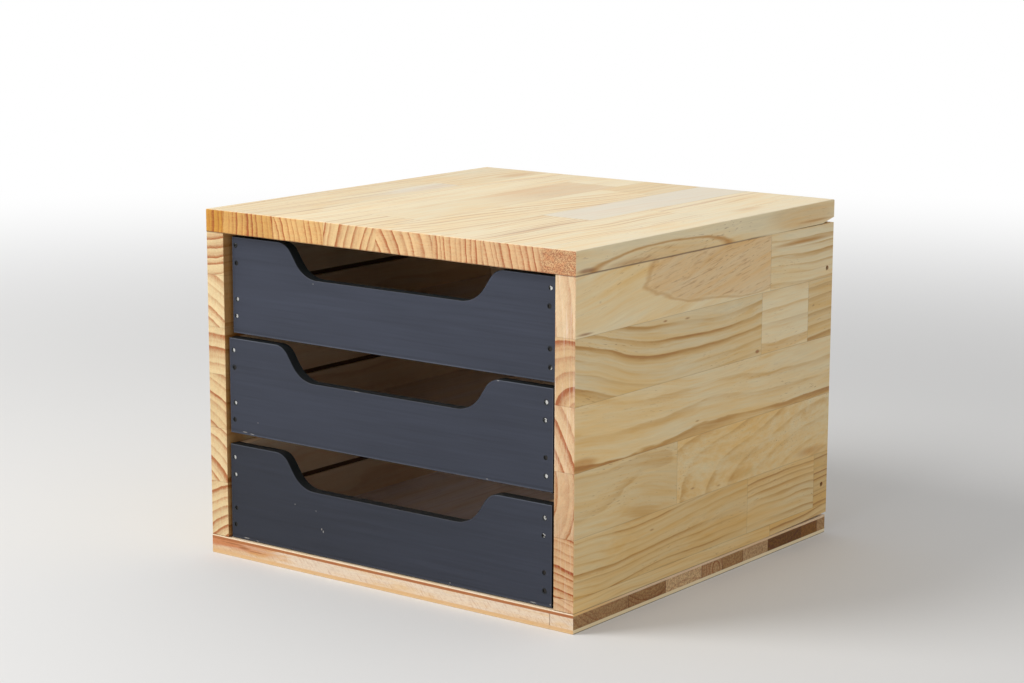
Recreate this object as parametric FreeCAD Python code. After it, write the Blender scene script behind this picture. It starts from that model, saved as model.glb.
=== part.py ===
import FreeCAD, Part
import math
import os

# Wooden paper tray: a carcass of laminated pine on a blockboard bottom, with three
# shallow drawers that hang on strips let into its sides.
# Millimetres. +Z is up and the drawers open towards -Y.
# The origin is the middle of the carcass's footprint, on the surface it stands on.

# Carcass
WIDTH = 360.0
DEPTH = 360.0
HEIGHT = 280.0
BOARD = 18.0            # laminated pine of the top, the sides and the back
BOTTOM_BOARD = 15.0     # blockboard bottom
BOTTOM_SHORT = 2.0      # how far the bottom board stops short of the rear
TOP_ARRIS = 1.0         # rounding along the top board's upper edges
SIDE_ARRIS = 0.5        # rounding along the sides' front and rear edges

# The right side was planed narrower towards the rear, where it leaves thin gaps
TAPER_LENGTH = 110.0    # length of that stretch, measured from the rear
TAPER_LOW = 2.2         # gap over the bottom board at the rear
TAPER_HIGH = 0.8        # gap under the top board at the rear
CHIP_LENGTH = 18.0      # chipped lower corner of the top board above it
CHIP_HEIGHT = 3.6
CHIP_DEPTH = 6.5

# Drawer fronts and the gaps round them
FRONT_THICKNESS = 9.0
FRONT_ARRIS = 0.7
FRONT_SIDE_GAP = 2.5
GAP_UNDER_BOTTOM = 0.6
GAP_UNDER_MIDDLE = 9.2
GAP_UNDER_TOP = 3.4
GAP_OVER_TOP = 2.8
CLOSED_RECESS = 5.5     # how far a front lies behind the carcass's face when pushed home
STANDS_OUT_BOTTOM = 3.5
STANDS_OUT_MIDDLE = 3.5
STANDS_OUT_TOP = 0.0
ASIDE_BOTTOM = -0.4     # where each front lies within its side play
ASIDE_MIDDLE = 0.2
ASIDE_TOP = 1.6
OFF_BOX_BOTTOM = 1.0    # how far right of its box's middle each front was nailed on
OFF_BOX_MIDDLE = 0.8
OFF_BOX_TOP = 1.5

# Finger cut-out in the upper edge of each front
CUT_DEPTH = 26.5
CUT_HALF_WIDTH = 93.3   # at half its depth
CUT_SLOPE = 56.0        # degrees, of its two ends
CUT_UPPER_RADIUS = 15.0
CUT_LOWER_RADIUS = 26.0

# Drawer boxes: two slats a side, with the runner's slot between them
WALL = 9.0              # slats and back
BOX_SIDE_GAP = 4.0
SLAT_MARGIN = 0.5       # slats stop short of the front's upper and lower edges
LOWER_SLAT = 35.0
PANEL = 6.0             # plywood bottom
PANEL_RAISE = 0.4       # over the slats' lower edges
REAR_CLEARANCE = 6.5    # behind a closed drawer

# Runner strips
RUNNER_THICKNESS = 4.0
RUNNER_PLAY = 0.2
RUNNER_SETBACK = 3.0    # strip's edge inside the slot
RUNNER_REAR_GAP = 2.0
GROOVE_DEPTH = 6.0

# Round wire nails through fronts and slats
HEAD_RADIUS = 1.6
HEAD_THICKNESS = 0.9
SHANK_RADIUS = 0.8
NAIL_LENGTH = 28.0
NAIL_EDGE = 10.2
NAIL_PITCH = 14.3
NAIL_LIFTS_BOTTOM = (0.0, 0.0, 0.8, 0.8)    # how much higher each pair was driven:
NAIL_LIFTS_MIDDLE = (0.0, 1.0, 0.6, 0.3)    # left lower, left upper, right lower,
NAIL_LIFTS_TOP = (2.8, 4.0, -0.6, 2.6)      # right upper
NAIL_WANDER = 0.6
NAIL_PUNCH = 0.7        # heads lie this far below the front's face

# Pins that hold the plywood bottoms
PIN_HEAD_RADIUS = 1.0
PIN_HEAD_THICKNESS = 0.6
PIN_RADIUS = 0.5
PIN_LENGTH = 20.0
PIN_INSET = 30.0
PINS_PER_SIDE = 4
PINS_PER_BACK = 3

# Nails through the sides into the back panel, punched below the surface
BACK_NAIL_HEAD_RADIUS = 2.0
BACK_NAIL_RADIUS = 1.4
BACK_NAIL_LENGTH = 45.0
BACK_NAIL_PUNCH = 5.0
BACK_NAIL_RAISE = 27.5  # lowest nail over the bottom board
BACK_NAIL_DROP = 37.5   # highest nail under the top board
BACK_NAILS_PER_SIDE = 2

# Dowels under the top board and countersunk screws under the bottom board
DOWEL_RADIUS = 4.0
DOWEL_LENGTH = 38.0
DOWEL_IN_TOP = 11.0
DOWEL_INSET = 40.0
DOWELS_PER_SIDE = 4
SCREW_HEAD_RADIUS = 3.8
SCREW_HEAD_HEIGHT = 2.6
SCREW_RADIUS = 1.9
SCREW_LENGTH = 40.0
SCREW_SINK = 0.4
SCREW_INSET = 35.0
SCREWS_PER_SIDE = 4
DRIVE_ARM = 2.2
DRIVE_WIDTH = 0.9
DRIVE_DEPTH = 1.6
HOLE_PLAY = 0.05        # round a fastener in its hole
FLAT = 0.1              # an edge that spans less than this lies in one plane

# Worked out from the sizes above
FACE = -DEPTH / 2
REAR = DEPTH / 2
INNER_HALF = WIDTH / 2 - BOARD
CEILING = HEIGHT - BOARD
BACK_FACE = REAR - BOARD
GAPS = GAP_UNDER_BOTTOM + GAP_UNDER_MIDDLE + GAP_UNDER_TOP + GAP_OVER_TOP
FRONT_HEIGHT = (CEILING - BOTTOM_BOARD - GAPS) / 3
FRONT_HALF = INNER_HALF - FRONT_SIDE_GAP
BOX_HALF = INNER_HALF - BOX_SIDE_GAP
SLOT_LOW = SLAT_MARGIN + LOWER_SLAT
SLOT_HIGH = SLOT_LOW + RUNNER_THICKNESS + RUNNER_PLAY
SLAT_TOP = FRONT_HEIGHT - SLAT_MARGIN
RUNNER_START = FACE + CLOSED_RECESS + FRONT_THICKNESS
BOX_LENGTH = BACK_FACE - REAR_CLEARANCE - RUNNER_START

BOTTOM_LEVEL = BOTTOM_BOARD + GAP_UNDER_BOTTOM
MIDDLE_LEVEL = BOTTOM_LEVEL + FRONT_HEIGHT + GAP_UNDER_MIDDLE
TOP_LEVEL = MIDDLE_LEVEL + FRONT_HEIGHT + GAP_UNDER_TOP

X_AXIS = FreeCAD.Vector(1, 0, 0)
Y_AXIS = FreeCAD.Vector(0, 1, 0)
Z_AXIS = FreeCAD.Vector(0, 0, 1)


def block(x0, x1, y0, y1, z0, z1):
    """Rectangular board between two corners."""
    return Part.makeBox(x1 - x0, y1 - y0, z1 - z0, FreeCAD.Vector(x0, y0, z0))


def cylinder(radius, start, way, begin, end):
    """Round bar along way, between two distances from start."""
    return Part.makeCylinder(radius, end - begin, start + way * begin, way)


def upright_edges(board):
    """The board's vertical edges."""
    return [edge for edge in board.Edges
            if edge.BoundBox.XLength < FLAT and edge.BoundBox.YLength < FLAT]


def evenly(first, last, count):
    """Evenly spaced places from first to last."""
    return [first + (last - first) * i / (count - 1) for i in range(count)]


def mirror_side(shape):
    """The same piece on the other side of the tray."""
    return shape.mirror(FreeCAD.Vector(0, 0, 0), X_AXIS)


# Fasteners

def nail(start, way, head_radius, head_thickness, shank_radius, length, punch, play):
    """Round nail driven along way and punched below start.

    Widened by play it is its hole, with the punch's hole over the head.
    """
    mouth = 0.0 if play > 0.0 else punch
    head = cylinder(head_radius + play, start, way, mouth, punch + head_thickness + play)
    shank_end = punch + length - 2 * shank_radius
    shank = cylinder(shank_radius + play, start, way, punch, shank_end)
    tip_start = start + way * shank_end
    tip_length = 2 * shank_radius + play
    tip = Part.makeCone(shank_radius + play, 0.0, tip_length, tip_start, way)
    return head.fuse([shank, tip]).removeSplitter()


def wire_nail(start, way, punch=0.0, play=0.0):
    """Nail of the drawers."""
    return nail(start, way, HEAD_RADIUS, HEAD_THICKNESS, SHANK_RADIUS, NAIL_LENGTH, punch, play)


def front_nail(start, play=0.0):
    """Nail through a front, its head below the painted face."""
    return wire_nail(start, Y_AXIS, NAIL_PUNCH, play)


def back_nail(start, way, play=0.0):
    """Nail through a slat into the drawer's back, its head flush."""
    return wire_nail(start, way, play=play)


def panel_pin(start, way, play=0.0):
    """Pin into the edge of a drawer's bottom."""
    return nail(start, way, PIN_HEAD_RADIUS, PIN_HEAD_THICKNESS, PIN_RADIUS, PIN_LENGTH,
                0.0, play)


def punched_nail(start, way, play=0.0):
    """Nail through a side into the back panel, punched deep."""
    return nail(start, way, BACK_NAIL_HEAD_RADIUS, HEAD_THICKNESS, BACK_NAIL_RADIUS,
                BACK_NAIL_LENGTH, BACK_NAIL_PUNCH, play)


def screw(start, play=0.0):
    """Wood screw driven upwards from start; widened by play, it is the screw's hole."""
    head = Part.makeCone(SCREW_HEAD_RADIUS + play, SCREW_RADIUS + play,
                         SCREW_HEAD_HEIGHT, start + Z_AXIS * SCREW_SINK, Z_AXIS)
    shank_end = SCREW_LENGTH - 2 * SCREW_RADIUS
    shank = cylinder(SCREW_RADIUS + play, start, Z_AXIS, SCREW_SINK, shank_end)
    tip = Part.makeCone(SCREW_RADIUS + play, 0.0, 2 * SCREW_RADIUS + play,
                        start + Z_AXIS * shank_end, Z_AXIS)
    body = head.fuse([shank, tip])
    if play > 0.0:
        mouth = cylinder(SCREW_HEAD_RADIUS + play, start, Z_AXIS, 0.0, SCREW_SINK)
        return body.fuse(mouth).removeSplitter()
    return body.cut(cross_recess(start)).removeSplitter()


def cross_recess(start):
    """Recess for the screwdriver, two bars across each other."""
    arms = ((DRIVE_ARM, DRIVE_WIDTH / 2), (DRIVE_WIDTH / 2, DRIVE_ARM))
    return [block(start.x - along, start.x + along, start.y - across, start.y + across,
                  start.z, start.z + SCREW_SINK + DRIVE_DEPTH) for along, across in arms]


def dowel(start, play=0.0):
    """Upright dowel from start, or its hole where play widens it."""
    return cylinder(DOWEL_RADIUS + play, start, Z_AXIS, -play, DOWEL_LENGTH + play)


# Where the fasteners go

def dowel_starts():
    middle = WIDTH / 2 - BOARD / 2
    low = CEILING + DOWEL_IN_TOP - DOWEL_LENGTH
    places = evenly(FACE + DOWEL_INSET, REAR - DOWEL_INSET, DOWELS_PER_SIDE)
    return [FreeCAD.Vector(x, y, low) for x in (-middle, middle) for y in places]


def screw_starts():
    middle = WIDTH / 2 - BOARD / 2
    places = evenly(FACE + SCREW_INSET, REAR - SCREW_INSET, SCREWS_PER_SIDE)
    sides = [FreeCAD.Vector(x, y, 0.0) for x in (-middle, middle) for y in places]
    spread = INNER_HALF / 2
    back = [FreeCAD.Vector(x, REAR - BOARD / 2, 0.0) for x in (-spread, spread)]
    return sides + back


def back_nail_starts():
    heights = evenly(BOTTOM_BOARD + BACK_NAIL_RAISE, CEILING - BACK_NAIL_DROP,
                     BACK_NAILS_PER_SIDE)
    middle = REAR - BOARD / 2
    return [(FreeCAD.Vector(side * WIDTH / 2, middle, z), X_AXIS * -side)
            for side in (-1, 1) for z in heights]


# Carcass

def runner_height(level):
    """Upper face of the strip that carries the drawer at this level."""
    return level + SLOT_HIGH


def runner(level):
    """Right-hand strip: half in the side's groove, half in the drawer's slot."""
    top = runner_height(level)
    tip = BOX_HALF - WALL + RUNNER_SETBACK
    return block(tip, INNER_HALF + GROOVE_DEPTH, RUNNER_START,
                 BACK_FACE - RUNNER_REAR_GAP, top - RUNNER_THICKNESS, top)


def groove(level):
    """Groove for that strip, sawn in from the side's rear edge."""
    top = runner_height(level)
    return block(INNER_HALF, INNER_HALF + GROOVE_DEPTH, RUNNER_START, REAR,
                 top - RUNNER_THICKNESS, top)


def right_side_outline():
    """Side board seen from the side, planed narrower over its last stretch."""
    taper_start = REAR - TAPER_LENGTH
    corners = [(FACE, BOTTOM_BOARD), (taper_start, BOTTOM_BOARD),
               (REAR, BOTTOM_BOARD + TAPER_LOW), (REAR, CEILING - TAPER_HIGH),
               (taper_start, CEILING), (FACE, CEILING)]
    points = [FreeCAD.Vector(INNER_HALF, y, z) for y, z in corners]
    return Part.Face(Part.makePolygon(points + points[:1]))


def finished_side(board):
    """Right-hand side with rounded edges, grooves and holes."""
    board = board.makeFillet(SIDE_ARRIS, upright_edges(board))
    cuts = [groove(level) for level in (BOTTOM_LEVEL, MIDDLE_LEVEL, TOP_LEVEL)]
    cuts += [dowel(p, HOLE_PLAY) for p in dowel_starts() if p.x > 0]
    cuts += [screw(p, HOLE_PLAY) for p in screw_starts() if p.x > INNER_HALF]
    cuts += [punched_nail(p, way, HOLE_PLAY) for p, way in back_nail_starts() if p.x > 0]
    return board.cut(cuts)


def right_side():
    return finished_side(right_side_outline().extrude(X_AXIS * BOARD))


def left_side():
    plain = block(INNER_HALF, WIDTH / 2, FACE, REAR, BOTTOM_BOARD, CEILING)
    return mirror_side(finished_side(plain))


def worn_edge():
    """Chip out of the top board's lower right edge, deepest at the rear."""
    edge = WIDTH / 2
    corners = [FreeCAD.Vector(edge, REAR - CHIP_LENGTH, CEILING),
               FreeCAD.Vector(edge, REAR, CEILING),
               FreeCAD.Vector(edge, REAR, CEILING + CHIP_HEIGHT),
               FreeCAD.Vector(edge - CHIP_DEPTH, REAR, CEILING)]
    faces = []
    for skip in range(4):
        rest = [p for i, p in enumerate(corners) if i != skip]
        faces.append(Part.Face(Part.makePolygon(rest + rest[:1])))
    solid = Part.makeSolid(Part.makeShell(faces))
    if solid.Volume < 0:
        solid.reverse()
    return solid


def top_board():
    board = block(-WIDTH / 2, WIDTH / 2, FACE, REAR, CEILING, HEIGHT)
    upper = [edge for edge in board.Edges if edge.BoundBox.ZMin > HEIGHT - FLAT]
    board = board.makeFillet(TOP_ARRIS, upper)
    return board.cut([worn_edge()] + [dowel(p, HOLE_PLAY) for p in dowel_starts()])


def bottom_board():
    board = block(-WIDTH / 2, WIDTH / 2, FACE, REAR - BOTTOM_SHORT, 0.0, BOTTOM_BOARD)
    return board.cut([screw(p, HOLE_PLAY) for p in screw_starts()])


def back_panel():
    board = block(-INNER_HALF, INNER_HALF, BACK_FACE, REAR, BOTTOM_BOARD, CEILING)
    cuts = [punched_nail(p, way, HOLE_PLAY) for p, way in back_nail_starts()]
    cuts += [screw(p, HOLE_PLAY) for p in screw_starts() if abs(p.x) < INNER_HALF]
    return board.cut(cuts)


# Drawers, each made about the middle of its front's lower edge

def outline(corners):
    """Closed wire in the XZ plane through (x, z, radius) corners, rounded to their radius."""
    edges = []
    last_end = None
    first_start = None
    count = len(corners)
    for i in range(count):
        x, z, radius = corners[i]
        corner = FreeCAD.Vector(x, 0, z)
        before = FreeCAD.Vector(corners[i - 1][0], 0, corners[i - 1][1]) - corner
        after = FreeCAD.Vector(corners[(i + 1) % count][0], 0, corners[(i + 1) % count][1]) - corner
        before.normalize()
        after.normalize()
        half_angle = before.getAngle(after) / 2
        start = corner + before * (radius / math.tan(half_angle))
        end = corner + after * (radius / math.tan(half_angle))
        if last_end is None:
            first_start = start
        else:
            edges.append(Part.makeLine(last_end, start))
        if radius > 0:
            inward = before + after
            inward.normalize()
            summit = corner + inward * (radius / math.sin(half_angle) - radius)
            edges.append(Part.Arc(start, summit, end).toShape())
        last_end = end
    edges.append(Part.makeLine(last_end, first_start))
    return Part.Wire(edges)


def front_outline():
    """Front seen from the front: a board with the finger cut-out in its upper edge."""
    lean = CUT_DEPTH / 2 / math.tan(math.radians(CUT_SLOPE))
    rim = CUT_HALF_WIDTH + lean
    floor = CUT_HALF_WIDTH - lean
    low = FRONT_HEIGHT - CUT_DEPTH
    right = [(FRONT_HALF, 0.0, 0.0), (FRONT_HALF, FRONT_HEIGHT, 0.0),
             (rim, FRONT_HEIGHT, CUT_UPPER_RADIUS), (floor, low, CUT_LOWER_RADIUS)]
    left = [(-x, z, radius) for x, z, radius in reversed(right)]
    return outline(right + left)


def nail_heights(lower_lift=0.0, upper_lift=0.0):
    """Two nails to a slat: a pair low on the lower slat and a pair high on the upper one."""
    low = SLAT_MARGIN + NAIL_EDGE + lower_lift
    high = SLAT_TOP - NAIL_EDGE + upper_lift
    return (low, low + NAIL_PITCH, high - NAIL_PITCH, high)


def front_nails(lifts):
    """Nails into the slats' ends, driven by hand and so a little out of line."""
    middle = BOX_HALF - WALL / 2
    starts = []
    for side, pair_lifts in ((-1, lifts[:2]), (1, lifts[2:])):
        for turn, z in enumerate(nail_heights(*pair_lifts)):
            drift = NAIL_WANDER * math.sin(2 * turn + side)
            rise = NAIL_WANDER * math.cos(3 * turn + side)
            starts.append(FreeCAD.Vector(side * middle + drift, 0, z + rise))
    return starts


def back_nails():
    """Nails through the slats into the back's ends."""
    depth = FRONT_THICKNESS + BOX_LENGTH - WALL / 2
    return [(FreeCAD.Vector(side * BOX_HALF, depth, z), X_AXIS * -side)
            for side in (-1, 1) for z in nail_heights()]


def bottom_pins():
    """Pins through the lower slats and the back into the plywood bottom's edges."""
    height = SLAT_MARGIN + PANEL_RAISE + PANEL / 2
    end = FRONT_THICKNESS + BOX_LENGTH
    along = evenly(FRONT_THICKNESS + PIN_INSET, end - WALL - PIN_INSET, PINS_PER_SIDE)
    sides = [(FreeCAD.Vector(side * BOX_HALF, y, height), X_AXIS * -side)
             for side in (-1, 1) for y in along]
    reach = BOX_HALF - WALL - PIN_INSET
    back = [(FreeCAD.Vector(x, end, height), Y_AXIS * -1)
            for x in evenly(-reach, reach, PINS_PER_BACK)]
    return sides + back


def drawer_front(off_box, lifts):
    board = Part.Face(front_outline()).extrude(Y_AXIS * FRONT_THICKNESS)
    face = [edge for edge in board.Edges if edge.BoundBox.YMax < FLAT]
    board = board.makeFillet(FRONT_ARRIS, face)
    board.translate(X_AXIS * off_box)
    return board.cut([front_nail(p, HOLE_PLAY) for p in front_nails(lifts)])


def slat(side, z0, z1, lifts):
    """Slat between two heights, right (1) or left (-1), with the holes of what crosses it."""
    inner = side * (BOX_HALF - WALL)
    outer = side * BOX_HALF
    board = block(min(inner, outer), max(inner, outer), FRONT_THICKNESS,
                  FRONT_THICKNESS + BOX_LENGTH, z0, z1)
    holes = [(p, front_nail(p, HOLE_PLAY)) for p in front_nails(lifts)]
    holes += [(p, back_nail(p, way, HOLE_PLAY)) for p, way in back_nails()]
    holes += [(p, panel_pin(p, way, HOLE_PLAY)) for p, way in bottom_pins()]
    return board.cut([hole for p, hole in holes
                      if p.x * side > BOX_HALF - WALL and z0 < p.z < z1])


def drawer_back():
    """Back between the slats."""
    end = FRONT_THICKNESS + BOX_LENGTH
    board = block(WALL - BOX_HALF, BOX_HALF - WALL, end - WALL, end, SLAT_MARGIN, SLAT_TOP)
    cuts = [back_nail(p, way, HOLE_PLAY) for p, way in back_nails()]
    cuts += [panel_pin(p, way, HOLE_PLAY) for p, way in bottom_pins() if way.y < 0]
    return board.cut(cuts)


def drawer_bottom():
    """Plywood between the slats, the front and the back."""
    low = SLAT_MARGIN + PANEL_RAISE
    panel = block(WALL - BOX_HALF, BOX_HALF - WALL, FRONT_THICKNESS,
                  FRONT_THICKNESS + BOX_LENGTH - WALL, low, low + PANEL)
    return panel.cut([panel_pin(p, way, HOLE_PLAY) for p, way in bottom_pins()])


def drawer(off_box, lifts):
    """All pieces of one drawer, by name."""
    lower = (SLAT_MARGIN, SLOT_LOW, lifts)
    upper = (SLOT_HIGH, SLAT_TOP, lifts)
    return {
        "front": drawer_front(off_box, lifts),
        "left_lower_slat": slat(-1, *lower),
        "left_upper_slat": slat(-1, *upper),
        "right_lower_slat": slat(1, *lower),
        "right_upper_slat": slat(1, *upper),
        "back": drawer_back(),
        "bottom": drawer_bottom(),
        "front_nails": Part.makeCompound([front_nail(p) for p in front_nails(lifts)]),
        "back_nails": Part.makeCompound([back_nail(p, way) for p, way in back_nails()]),
        "bottom_pins": Part.makeCompound([panel_pin(p, way) for p, way in bottom_pins()]),
    }


def carcass():
    """All pieces of the carcass, by name."""
    pieces = {
        "top_board": top_board(),
        "bottom_board": bottom_board(),
        "left_side": left_side(),
        "right_side": right_side(),
        "back_panel": back_panel(),
        "top_dowels": Part.makeCompound([dowel(p) for p in dowel_starts()]),
        "bottom_screws": Part.makeCompound([screw(p) for p in screw_starts()]),
        "back_panel_nails": Part.makeCompound(
            [punched_nail(p, way) for p, way in back_nail_starts()]),
    }
    for name, level in (("bottom", BOTTOM_LEVEL), ("middle", MIDDLE_LEVEL), ("top", TOP_LEVEL)):
        pieces["runner_right_" + name] = runner(level)
        pieces["runner_left_" + name] = mirror_side(runner(level))
    return pieces


def place_drawer(name, aside, off_box, level, stands_out, lifts):
    """The drawer's pieces where it rests, its front this far aside, under their full names."""
    move = FreeCAD.Vector(aside - off_box, FACE + CLOSED_RECESS - stands_out, level)
    return {name + "_drawer_" + key: shape.translated(move)
            for key, shape in drawer(off_box, lifts).items()}


def build():
    nodes = carcass()
    nodes.update(place_drawer("bottom", ASIDE_BOTTOM, OFF_BOX_BOTTOM, BOTTOM_LEVEL,
                              STANDS_OUT_BOTTOM, NAIL_LIFTS_BOTTOM))
    nodes.update(place_drawer("middle", ASIDE_MIDDLE, OFF_BOX_MIDDLE, MIDDLE_LEVEL,
                              STANDS_OUT_MIDDLE, NAIL_LIFTS_MIDDLE))
    nodes.update(place_drawer("top", ASIDE_TOP, OFF_BOX_TOP, TOP_LEVEL,
                              STANDS_OUT_TOP, NAIL_LIFTS_TOP))
    return nodes


os.makedirs("parts", exist_ok=True)
for node, solid in build().items():
    solid.exportStep("parts/" + node + ".step")
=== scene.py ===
import math
from collections import namedtuple

import bpy
import numpy as np
from mathutils import Euler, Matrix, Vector


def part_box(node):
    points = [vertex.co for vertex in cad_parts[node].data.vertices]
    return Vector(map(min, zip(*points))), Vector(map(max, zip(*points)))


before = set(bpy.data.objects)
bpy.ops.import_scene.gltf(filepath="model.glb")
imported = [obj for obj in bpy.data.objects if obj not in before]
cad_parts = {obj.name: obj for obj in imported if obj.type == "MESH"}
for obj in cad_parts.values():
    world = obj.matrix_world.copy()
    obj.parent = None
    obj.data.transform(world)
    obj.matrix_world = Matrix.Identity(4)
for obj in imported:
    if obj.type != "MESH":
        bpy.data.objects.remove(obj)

bl_info = {
    "name": "Paper tray",
    "version": (1, 0, 0),
    "blender": (4, 5, 0),
    "location": "View3D > Sidebar > Paper tray",
    "description": "Finishes a pine paper tray with three painted drawers, and sets its stage",
    "category": "Object",
}

MM = 0.001
DRAWERS = ("bottom", "middle", "top")
SLATS = ("left_lower_slat", "left_upper_slat", "right_lower_slat", "right_upper_slat")
PINE = "sawn_pine"      # the node group that draws it


def chip(red, green, blue):
    """A colour as a paint chart gives it, 0 to 255, as the linear light that Blender works in."""
    shares = (red / 255, green / 255, blue / 255)
    return tuple(s / 12.92 if s <= 0.04045 else ((s + 0.055) / 1.055) ** 2.4 for s in shares)


# Places and sizes on the object
# Along these heights a line of painted shade darkens the joints between the boards
SHADED_JOINTS_UP = (262, 15)           # heights at which the top board and the sides stand on something, in millimetres
BOARD_MIDDLE = 7.5 * MM         # half the bottom board's thickness
UNDER_MIDDLE = 90 * MM          # a height over the bottom drawer's board and under the middle drawer's
NAIL_RADIUS = 1.6 * MM          # the head of a nail in the fronts

# Stains and colours of single places, where the wood's own colours don't reach; some of them are painted light and
# shade, as marked
# The next colour is for the glue lines between staves, and also for the painted shade along the joints where one
# board stands on another
GLUE_LINE_AND_JOINT_SHADE = chip(96, 62, 36)
RIGHT_FRONT_TINT = chip(240, 237, 252)
RIGHT_OUTER_TINT = chip(250, 243, 226)
STRONG_GRAIN_TINT = chip(235, 231, 241)
SCUFF = chip(232, 214, 200)
LEFT_FRONT_TINT = chip(244, 248, 255)
TOP_FRONT_TINT = chip(238, 226, 230)
# Painted sheen on the top board's top face
TOP_PAINTED_SHEEN = chip(254, 244, 224)
CORNER_BLUSH = chip(198, 124, 76)
CORNER_SPECK = chip(138, 80, 50)
CORE_END_TINT = chip(244, 243, 228)
CORE_CRUMB = chip(172, 148, 132)
RUST = chip(178, 100, 44)
UPPER_VENEER_TINT = chip(255, 246, 236)
LOWER_VENEER = chip(246, 228, 188)
# Painted contact shadow along the bottom board's lowest edges
ARRIS_PAINTED_SHADOW = chip(70, 52, 38)
# Painted light on the bottom drawer's board
SHEET_PAINTED_LIGHT = chip(246, 238, 240)
BEECH_PALE = chip(206, 166, 124)
BEECH_DEEP = chip(188, 142, 100)
BEECH_FLECK = chip(150, 100, 66)
# Painted shade on the runner strips, which sit in dark slots
RUNNER_PAINTED_SHADE = chip(112, 104, 96)

# Painted light and shade on the fronts: how light each front's paint is drawn, the bottom one darker and the top one
# lighter, and how much lighter it gets for each metre to the right
PAINTED_LIGHT_ON_FRONTS = {"bottom": (0.745, 0.95), "middle": (0.99, 0.0), "top": (1.09, 0.0)}

# The stage
WHITE = (1.0, 1.0, 1.0, 1.0)
LIT_POINT = (0.0, 0.0, 0.14)    # what both lamps look at, in metres
CAMERA_PLACE = (1.17294, -1.55773, 0.53926)
CAMERA_TURN = (79.2053, -0.1757, 37.3238)   # degrees

# How the boards are laid up. Each board is a list of rows of staves, from the lowest place across the grain to the
# highest: (where the row ends across the grain, its staves). All places are in millimetres. A stave is where it ends
# along the grain, and then:
# - the heart of the tree across and deep, where it would pass at the board's middle, its lean across and deep in
#   millimetres for each 100 along the grain, and its bend for each 100 by 100
# - the width of a ring and how far on the first ring is
# - how light the wood is, how warm, and how strong its rings are
# - the radius of the pink heartwood, or none where nothing is said
# - how amber its end grain is, or half its warmth where nothing is said
Stave = namedtuple("Stave", "ends heart_across heart_deep lean_across lean_deep bend ring first tone warmth contrast "
                            "pink amber", defaults=[0, None])
LEAN = 0.01             # turns a lean of the table into metres for each metre
BEND = 0.1              # turns a bend of the table into metres for each metre squared
BELOW_ALL = -500        # a place in millimetres below every board
NO_JOINT = 0.9          # a place in metres past the end of every board

RIGHT_SIDE = [
    (25, [(90, -60, 150, 1, 0, 0, 5.5, 0.1, 0.99, 0.55, 0.6),
          (190, -40, 150, 2, 0, 0, 5.0, 0.5, 0.95, 0.7, 0.9)]),
    (70, [(55, -76, 157, 4, 2, 3.5, 5.6, 0.3, 0.95, 0.75, 0.75),
          (158, -80, 150, 22, 3, -11, 5.2, 0.0, 0.97, 0.6, 0.8),
          (190, -50, 160, 2, 0, 0, 5.6, 0.4, 0.93, 1.1, 1.2)]),
    (119, [(-47, 87, 100, -10, 0, 0, 8.1, 0.05, 0.93, 0.55, 0.42),
           (190, 52, 118, 2, 34, 2, 13.5, 0.35, 1.03, 0.7, 0.62)]),
    (167.5, [(190, 22, -8, -2, 1, 1.7, 9.4, 0.6, 1.02, 0.5, 1.1)]),
    (217, [(71, 135.3, 184, -2.6, 0, 6.6, 11.5, 0.15, 0.99, 0.8, 1.1),
           (142, 0, 170, -3, 0, 0, 13.0, 0.3, 1.06, 0.35, 0.75),
           (190, -20, 160, 1, 0, 0, 10.0, 0.2, 0.98, 0.95, 0.9)]),
    (300, [(83, 240, -40, 16, 2, 0, 7.5, 0.55, 1.05, 0.3, 0.12),
           (190, 100, 170, -3, 0, 0, 7.6, 0.2, 1.03, 0.4, 0.8)]),
]

LEFT_SIDE = [
    (60, [(-20, -30, -140, 3, 0, 2, 7.5, 0.2, 1.0, 0.4, 0.9),
          (190, -60, -150, -6, 2, 3, 6.0, 0.4, 0.96, 0.6, 0.8)]),
    (104, [(70, 20, -205, -3, 4, -2, 8.5, 0.1, 1.02, 0.35, 0.9),
           (190, -20, -180, 4, 0, 0, 9.5, 0.6, 1.05, 0.2, 0.8)]),
    (148, [(-60, 60, -210, 2, 0, 0, 8.0, 0.5, 0.97, 0.5, 0.9),
           (110, 96, -150, -4, 8, 0, 9.0, 0.3, 0.95, 0.3, 0.9, 16),
           (190, 40, -200, 0, 0, 0, 7.0, 0.1, 1.03, 0.5, 0.8)]),
    (186, [(20, -50, -175, 2, 0, 3, 11.0, 0.8, 1.0, 0.4, 0.8),
           (190, 120, -140, -5, 12, 0, 12.0, 0.2, 1.04, 0.2, 0.8)]),
    (228, [(120, 120, -210, 1, 3, 0, 8.5, 0.3, 1.02, 0.3, 0.7),
           (190, 150, -160, 0, 0, 0, 6.0, 0.7, 0.95, 0.7, 1.0)]),
    (300, [(-90, 340, -189, 0, 0, 0, 6.8, 0.45, 0.98, 0.4, 0.9),
           (190, 250, -120, 2, 6, 0, 8.0, 0.1, 1.03, 0.3, 0.45)]),
]

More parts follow.
